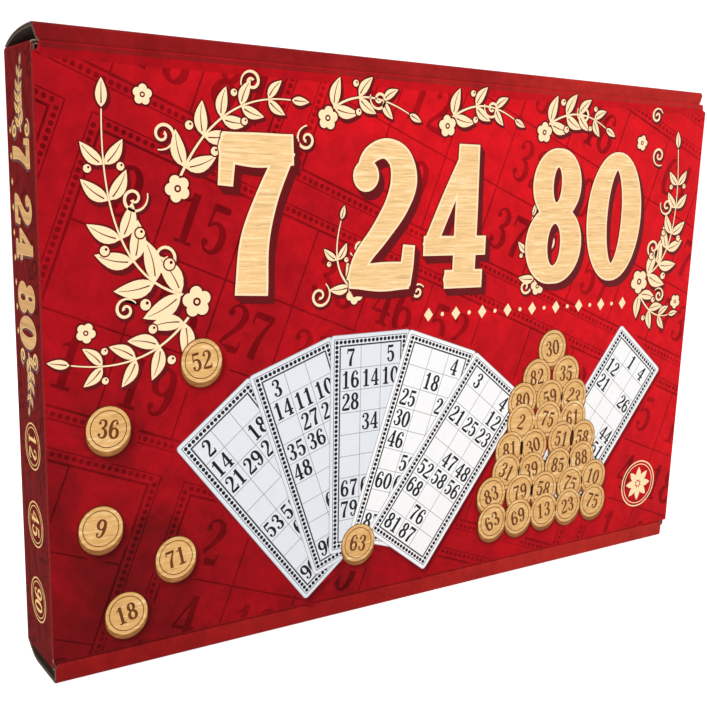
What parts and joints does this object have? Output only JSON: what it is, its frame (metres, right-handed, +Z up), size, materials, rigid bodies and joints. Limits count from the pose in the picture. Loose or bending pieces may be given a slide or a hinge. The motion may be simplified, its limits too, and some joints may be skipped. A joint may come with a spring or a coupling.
{
  "type": "lotto game",
  "caption": "Flat tuck-top box of thin corrugated board standing on its long edge, with a hinged lid, number cards, a tied drawstring bag and loose wooden number tiles inside.",
  "frame": {"origin": "middle of the shut box's footprint, on the surface that its long lower edge stands on", "axes": "+X along the box's long edges, from the card end to the loose tiles; +Y from the lid's printed face to the back panel; +Z up, from the foot wall to the hinge wall"},
  "size_m": [0.365, 0.035, 0.25],
  "materials": {
    "printed_board": "satin",
    "printed_board_dark": "satin",
    "raw_board": "matte",
    "card_paper": "satin",
    "bag_cloth": "matte",
    "bag_cord": "matte",
    "tile_wood": "matte"
  },
  "bodies": {
    "tray": {"back_panel": "printed_board", "side_wall_left": "printed_board_dark", "side_wall_right": "printed_board_dark", "corner_flap_lower_left": "raw_board", "corner_flap_lower_right": "raw_board", "corner_flap_upper_left": "raw_board", "corner_flap_upper_right": "raw_board", "foot_wall": "printed_board", "inner_foot_wall": "raw_board"},
    "hinge_wall": {"hinge_wall": "printed_board_dark"},
    "lid": {"lid_panel": "printed_board"},
    "tuck_flap": {"tuck_flap": "raw_board"},
    "bag": {"bag_pouch": "bag_cloth", "bag_cord_outer_left": "bag_cord", "bag_cord_inner_left": "bag_cord", "bag_knot_left": "bag_cord", "bag_cord_outer_right": "bag_cord", "bag_cord_inner_right": "bag_cord", "bag_knot_right": "bag_cord"},
    "card_01": {"card_01": "card_paper"},
    "card_02": {"card_02": "card_paper"},
    "card_03": {"card_03": "card_paper"},
    "card_04": {"card_04": "card_paper"},
    "card_05": {"card_05": "card_paper"},
    "card_06": {"card_06": "card_paper"},
    "card_07": {"card_07": "card_paper"},
    "card_08": {"card_08": "card_paper"},
    "card_09": {"card_09": "card_paper"},
    "card_10": {"card_10": "card_paper"},
    "card_11": {"card_11": "card_paper"},
    "card_12": {"card_12": "card_paper"},
    "card_13": {"card_13": "card_paper"},
    "card_14": {"card_14": "card_paper"},
    "card_15": {"card_15": "card_paper"},
    "card_16": {"card_16": "card_paper"},
    "card_17": {"card_17": "card_paper"},
    "card_18": {"card_18": "card_paper"},
    "card_19": {"card_19": "card_paper"},
    "card_20": {"card_20": "card_paper"},
    "card_21": {"card_21": "card_paper"},
    "card_22": {"card_22": "card_paper"},
    "card_23": {"card_23": "card_paper"},
    "card_24": {"card_24": "card_paper"},
    "tile_1": {"tile_1": "tile_wood"},
    "tile_2": {"tile_2": "tile_wood"},
    "tile_3": {"tile_3": "tile_wood"},
    "tile_4": {"tile_4": "tile_wood"},
    "tile_5": {"tile_5": "tile_wood"},
    "tile_6": {"tile_6": "tile_wood"},
    "tile_7": {"tile_7": "tile_wood"},
    "tile_8": {"tile_8": "tile_wood"}
  },
  "joints": [
    {"name": "hinge_wall_fold", "type": "hinge", "parent": "tray", "child": "hinge_wall", "pos_m": [0, 0.0175, 0.244], "axis": [1, 0, 0], "range_deg": [-90, 0]},
    {"name": "lid_hinge", "type": "hinge", "parent": "hinge_wall", "child": "lid", "pos_m": [0, -0.0175, 0.244], "axis": [1, 0, 0], "range_deg": [-160, 0]},
    {"name": "tuck_flap_fold", "type": "hinge", "parent": "lid", "child": "tuck_flap", "pos_m": [0, -0.0175, 0.0088], "axis": [1, 0, 0], "range_deg": [-80, 0]},
    {"name": "bag_lift", "type": "slide", "parent": "tray", "child": "bag", "axis": [0, 0, 1], "range_m": [0, 0.1]},
    {"name": "card_01_lift", "type": "slide", "parent": "tray", "child": "card_01", "axis": [0, 0, 1], "range_m": [0, 0.12]},
    {"name": "card_02_lift", "type": "slide", "parent": "tray", "child": "card_02", "axis": [0, 0, 1], "range_m": [0, 0.11505]},
    {"name": "card_03_lift", "type": "slide", "parent": "tray", "child": "card_03", "axis": [0, 0, 1], "range_m": [0, 0.11005]},
    {"name": "card_04_lift", "type": "slide", "parent": "tray", "child": "card_04", "axis": [0, 0, 1], "range_m": [0, 0.10505]},
    {"name": "card_05_lift", "type": "slide", "parent": "tray", "child": "card_05", "axis": [0, 0, 1], "range_m": [0, 0.10005]},
    {"name": "card_06_lift", "type": "slide", "parent": "tray", "child": "card_06", "axis": [0, 0, 1], "range_m": [0, 0.09505]},
    {"name": "card_07_lift", "type": "slide", "parent": "tray", "child": "card_07", "axis": [0, 0, 1], "range_m": [0, 0.09005]},
    {"name": "card_08_lift", "type": "slide", "parent": "tray", "child": "card_08", "axis": [0, 0, 1], "range_m": [0, 0.08505]},
    {"name": "card_09_lift", "type": "slide", "parent": "tray", "child": "card_09", "axis": [0, 0, 1], "range_m": [0, 0.08005]},
    {"name": "card_10_lift", "type": "slide", "parent": "tray", "child": "card_10", "axis": [0, 0, 1], "range_m": [0, 0.07505]},
    {"name": "card_11_lift", "type": "slide", "parent": "tray", "child": "card_11", "axis": [0, 0, 1], "range_m": [0, 0.07005]},
    {"name": "card_12_lift", "type": "slide", "parent": "tray", "child": "card_12", "axis": [0, 0, 1], "range_m": [0, 0.06505]},
    {"name": "card_13_lift", "type": "slide", "parent": "tray", "child": "card_13", "axis": [0, 0, 1], "range_m": [0, 0.06005]},
    {"name": "card_14_lift", "type": "slide", "parent": "tray", "child": "card_14", "axis": [0, 0, 1], "range_m": [0, 0.05505]},
    {"name": "card_15_lift", "type": "slide", "parent": "tray", "child": "card_15", "axis": [0, 0, 1], "range_m": [0, 0.05005]},
    {"name": "card_16_lift", "type": "slide", "parent": "tray", "child": "card_16", "axis": [0, 0, 1], "range_m": [0, 0.04505]},
    {"name": "card_17_lift", "type": "slide", "parent": "tray", "child": "card_17", "axis": [0, 0, 1], "range_m": [0, 0.04005]},
    {"name": "card_18_lift", "type": "slide", "parent": "tray", "child": "card_18", "axis": [0, 0, 1], "range_m": [0, 0.03505]},
    {"name": "card_19_lift", "type": "slide", "parent": "tray", "child": "card_19", "axis": [0, 0, 1], "range_m": [0, 0.03005]},
    {"name": "card_20_lift", "type": "slide", "parent": "tray", "child": "card_20", "axis": [0, 0, 1], "range_m": [0, 0.02505]},
    {"name": "card_21_lift", "type": "slide", "parent": "tray", "child": "card_21", "axis": [0, 0, 1], "range_m": [0, 0.02005]},
    {"name": "card_22_lift", "type": "slide", "parent": "tray", "child": "card_22", "axis": [0, 0, 1], "range_m": [0, 0.01505]},
    {"name": "card_23_lift", "type": "slide", "parent": "tray", "child": "card_23", "axis": [0, 0, 1], "range_m": [0, 0.01005]},
    {"name": "card_24_lift", "type": "slide", "parent": "tray", "child": "card_24", "axis": [0, 0, 1], "range_m": [0, 0.00505]},
    {"name": "tile_1_lift", "type": "slide", "parent": "tray", "child": "tile_1", "axis": [0, 0, 1], "range_m": [0, 0.02255]},
    {"name": "tile_2_lift", "type": "slide", "parent": "tray", "child": "tile_2", "axis": [0, 0, 1], "range_m": [0, 0.04505]},
    {"name": "tile_3_lift", "type": "slide", "parent": "tray", "child": "tile_3", "axis": [0, 0, 1], "range_m": [0, 0.06755]},
    {"name": "tile_4_lift", "type": "slide", "parent": "tray", "child": "tile_4", "axis": [0, 0, 1], "range_m": [0, 0.09005]},
    {"name": "tile_5_lift", "type": "slide", "parent": "tray", "child": "tile_5", "axis": [0, 0, 1], "range_m": [0, 0.11255]},
    {"name": "tile_6_lift", "type": "slide", "parent": "tray", "child": "tile_6", "axis": [0, 0, 1], "range_m": [0, 0.13505]},
    {"name": "tile_7_lift", "type": "slide", "parent": "tray", "child": "tile_7", "axis": [0, 0, 1], "range_m": [0, 0.15755]},
    {"name": "tile_8_lift", "type": "slide", "parent": "tray", "child": "tile_8", "axis": [0, 0, 1], "range_m": [0, 0.18]}
  ],
  "couplings": [
    {"joint": "tuck_flap_fold", "follows": "lid_hinge", "ratio": 0.5},
    {"joint": "card_02_lift", "follows": "card_01_lift", "ratio": 0.95833},
    {"joint": "card_03_lift", "follows": "card_01_lift", "ratio": 0.91667},
    {"joint": "card_04_lift", "follows": "card_01_lift", "ratio": 0.875},
    {"joint": "card_05_lift", "follows": "card_01_lift", "ratio": 0.83333},
    {"joint": "card_06_lift", "follows": "card_01_lift", "ratio": 0.79167},
    {"joint": "card_07_lift", "follows": "card_01_lift", "ratio": 0.75},
    {"joint": "card_08_lift", "follows": "card_01_lift", "ratio": 0.70833},
    {"joint": "card_09_lift", "follows": "card_01_lift", "ratio": 0.66667},
    {"joint": "card_10_lift", "follows": "card_01_lift", "ratio": 0.625},
    {"joint": "card_11_lift", "follows": "card_01_lift", "ratio": 0.58333},
    {"joint": "card_12_lift", "follows": "card_01_lift", "ratio": 0.54167},
    {"joint": "card_13_lift", "follows": "card_01_lift", "ratio": 0.5},
    {"joint": "card_14_lift", "follows": "card_01_lift", "ratio": 0.45833},
    {"joint": "card_15_lift", "follows": "card_01_lift", "ratio": 0.41667},
    {"joint": "card_16_lift", "follows": "card_01_lift", "ratio": 0.375},
    {"joint": "card_17_lift", "follows": "card_01_lift", "ratio": 0.33333},
    {"joint": "card_18_lift", "follows": "card_01_lift", "ratio": 0.29167},
    {"joint": "card_19_lift", "follows": "card_01_lift", "ratio": 0.25},
    {"joint": "card_20_lift", "follows": "card_01_lift", "ratio": 0.20833},
    {"joint": "card_21_lift", "follows": "card_01_lift", "ratio": 0.16667},
    {"joint": "card_22_lift", "follows": "card_01_lift", "ratio": 0.125},
    {"joint": "card_23_lift", "follows": "card_01_lift", "ratio": 0.083333},
    {"joint": "card_24_lift", "follows": "card_01_lift", "ratio": 0.041667},
    {"joint": "tile_1_lift", "follows": "tile_8_lift", "ratio": 0.125},
    {"joint": "tile_2_lift", "follows": "tile_8_lift", "ratio": 0.25},
    {"joint": "tile_3_lift", "follows": "tile_8_lift", "ratio": 0.375},
    {"joint": "tile_4_lift", "follows": "tile_8_lift", "ratio": 0.5},
    {"joint": "tile_5_lift", "follows": "tile_8_lift", "ratio": 0.625},
    {"joint": "tile_6_lift", "follows": "tile_8_lift", "ratio": 0.75},
    {"joint": "tile_7_lift", "follows": "tile_8_lift", "ratio": 0.875}
  ]
}
